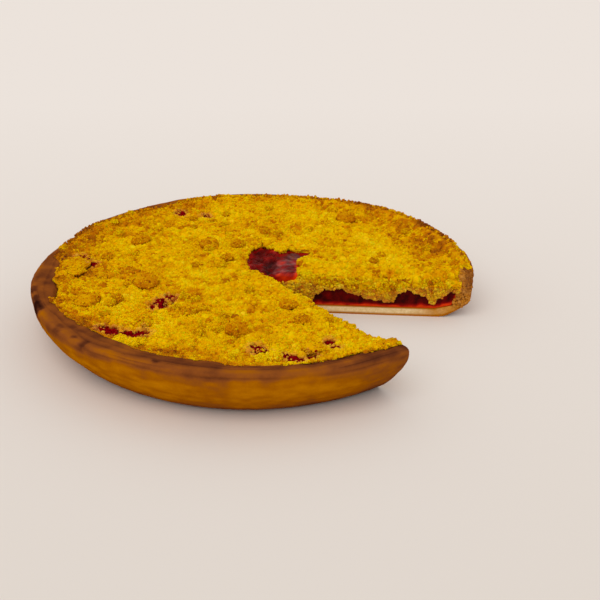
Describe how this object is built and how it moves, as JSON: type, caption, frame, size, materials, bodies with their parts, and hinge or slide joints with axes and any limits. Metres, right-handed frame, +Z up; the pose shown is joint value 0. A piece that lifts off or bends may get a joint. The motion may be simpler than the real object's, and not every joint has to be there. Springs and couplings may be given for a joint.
{
  "type": "fruit crumb tart",
  "caption": "Round crumb tart with a deep pastry case, red fruit filling and a rough baked crumb topping, with a wedge cut out down to the base.",
  "frame": {"origin": "centre of the underside of the pastry case, on the surface it rests on", "axes": "+Z up through the crumb topping; the cut-out wedge opens towards +X and a little towards -Y"},
  "size_m": [0.282, 0.282, 0.037],
  "materials": {
    "pastry": "satin",
    "fruit": "glossy",
    "crumb": "matte"
  },
  "bodies": {
    "root": {"pastry_case": "pastry", "fruit_filling": "fruit", "crumb_topping": "crumb"}
  },
  "joints": []
}
